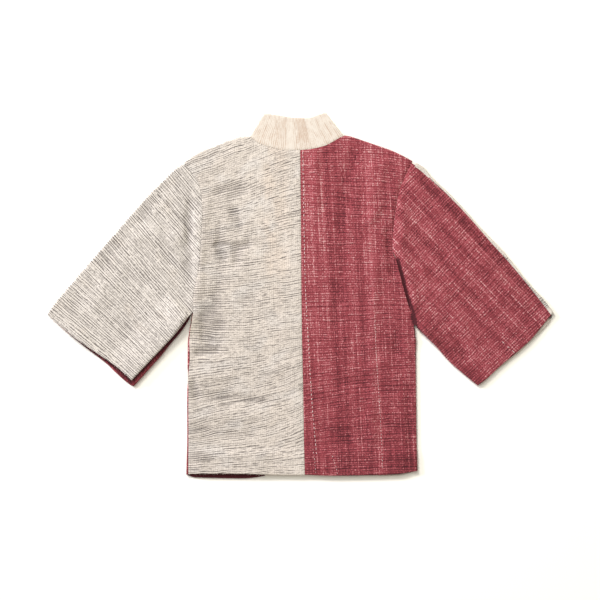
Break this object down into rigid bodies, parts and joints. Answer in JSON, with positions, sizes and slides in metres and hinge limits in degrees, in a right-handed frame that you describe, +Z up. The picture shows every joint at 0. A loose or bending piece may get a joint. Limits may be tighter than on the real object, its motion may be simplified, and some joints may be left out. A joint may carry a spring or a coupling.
{
  "type": "kimono jacket",
  "caption": "Collared kimono jacket in thick hand-woven cotton, laid flat back up: ecru and raspberry halves that swap sides on the front, wide straight sleeves, ivory band collar.",
  "frame": {"origin": "centre of the bounding box's bottom face, on the surface that the jacket lies on", "axes": "+X to the right in the picture (towards the raspberry sleeve), +Y towards the collar, +Z up, away from the surface"},
  "size_m": [1.1639, 0.8401, 0.0097],
  "materials": {
    "ecru_cloth": "slubbed plain weave with broken dark grey weft threads, dry matte",
    "raspberry_cloth": "heathered basket weave with paler warp streaks, matte",
    "ivory_band": "fine ribbed cotton, soft matte"
  },
  "bodies": {
    "root": {"back_left": "ecru_cloth", "back_right": "raspberry_cloth", "front_left": "raspberry_cloth", "front_right": "ecru_cloth", "sleeve_left_back": "ecru_cloth", "sleeve_left_front": "raspberry_cloth", "sleeve_right_back": "raspberry_cloth", "sleeve_right_front": "ecru_cloth", "collar": "ivory_band"}
  },
  "joints": []
}
